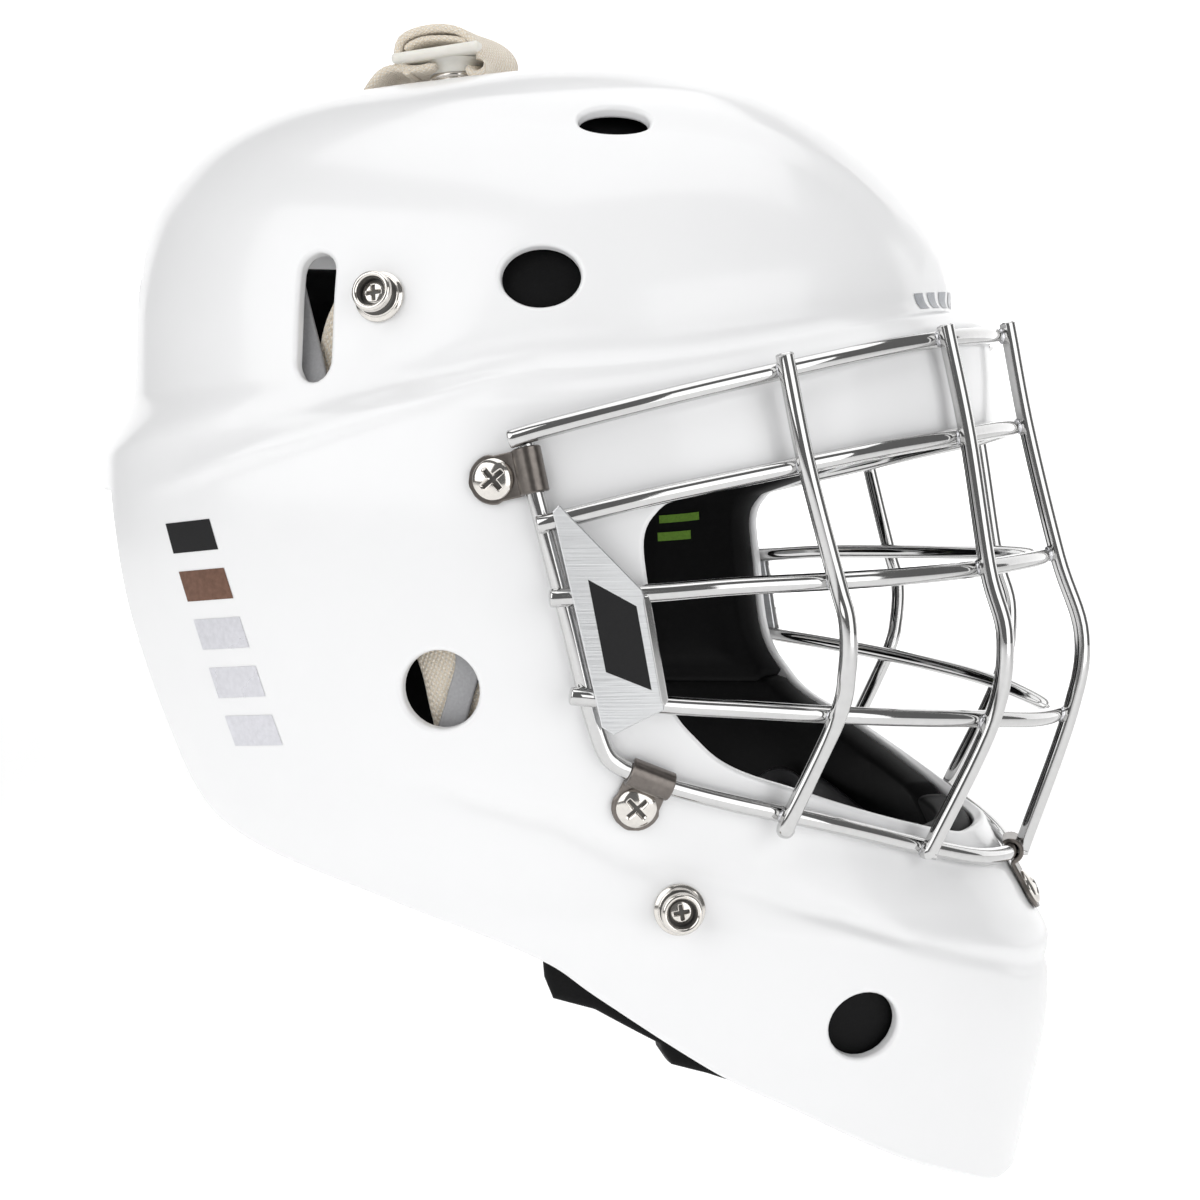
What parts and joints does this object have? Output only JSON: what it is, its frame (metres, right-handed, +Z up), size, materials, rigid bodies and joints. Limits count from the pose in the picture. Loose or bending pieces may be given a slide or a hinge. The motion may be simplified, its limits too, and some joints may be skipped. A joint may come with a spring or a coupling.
{
  "type": "ice hockey goalkeeper mask",
  "caption": "Moulded mask with a welded wire face cage, snap studs, harness strap, foam padding, swinging back plate and chin cup; it shields a goalkeeper's face and head.",
  "frame": {"origin": "centre of the head space on the left-right mid-plane, level with the middle of the eye opening", "axes": "+X forward out of the face, +Y to the wearer's left, +Z up as worn"},
  "size_m": [0.2807, 0.2166, 0.3226],
  "materials": {
    "shell_gloss": "clear gloss over white",
    "back_plate_gloss": "gloss white",
    "brushed_plate": "brushed",
    "chrome_wire": "polished chrome",
    "screw_nickel": "polished nickel",
    "clip_steel": "satin dark nickel",
    "stud_nickel": "polished nickel",
    "nut_steel": "zinc plated",
    "cup_plastic": "matte black",
    "slider_plastic": "satin off-white",
    "strap_cotton": "woven cotton webbing",
    "black_foam": "smooth matte skin foam"
  },
  "bodies": {
    "mask": {"shell": "shell_gloss", "cage_edge_wire": "chrome_wire", "cage_bar_brow": "chrome_wire", "cage_bar_upper": "chrome_wire", "cage_bar_middle": "chrome_wire", "cage_bar_lower": "chrome_wire", "cage_post_centre": "chrome_wire", "cage_post_inner_right": "chrome_wire", "cage_post_inner_left": "chrome_wire", "cage_post_outer_right": "chrome_wire", "cage_post_outer_left": "chrome_wire", "cage_plate_right": "brushed_plate", "cage_plate_left": "brushed_plate", "clip_upper_right": "clip_steel", "clip_upper_left": "clip_steel", "clip_lower_right": "clip_steel", "clip_lower_left": "clip_steel", "clip_chin": "clip_steel", "clip_screws": "screw_nickel", "snap_stud_top": "stud_nickel", "snap_stud_upper_right": "stud_nickel", "snap_stud_upper_left": "stud_nickel", "snap_stud_lower_right": "stud_nickel", "snap_stud_lower_left": "stud_nickel", "stud_screws": "screw_nickel", "fastener_nuts": "nut_steel", "forehead_pad": "black_foam", "brow_pad": "black_foam", "crown_pad": "black_foam", "temple_pad_right": "black_foam", "temple_pad_left": "black_foam", "rear_pad_right": "black_foam", "rear_pad_left": "black_foam", "side_liner_right": "black_foam", "side_liner_left": "black_foam", "jaw_pad_right": "black_foam", "jaw_pad_left": "black_foam", "chin_pad": "black_foam", "chin_cup_rivets": "stud_nickel", "crown_strap": "strap_cotton", "side_strap_right": "strap_cotton", "side_strap_left": "strap_cotton"},
    "back_plate": {"back_plate": "back_plate_gloss", "back_plate_foam": "black_foam"},
    "chin_cup": {"chin_cup": "cup_plastic"},
    "crown_snap": {"strap_slider": "slider_plastic", "crown_strap_loop": "strap_cotton"}
  },
  "joints": [
    {"name": "back_plate_swing", "type": "hinge", "parent": "mask", "child": "back_plate", "pos_m": [-0.13, 0, 0.096], "axis": [0, 1, 0], "range_deg": [0, 50]},
    {"name": "chin_cup_swing", "type": "hinge", "parent": "mask", "child": "chin_cup", "pos_m": [0.045, 0, -0.066], "axis": [0, 1, 0], "range_deg": [-12, 18]},
    {"name": "crown_snap_swivel", "type": "hinge", "parent": "mask", "child": "crown_snap", "pos_m": [-0.04302, 0, 0.15224], "axis": [-0.0452, 0, 0.999], "range_deg": [-12, 12]}
  ]
}
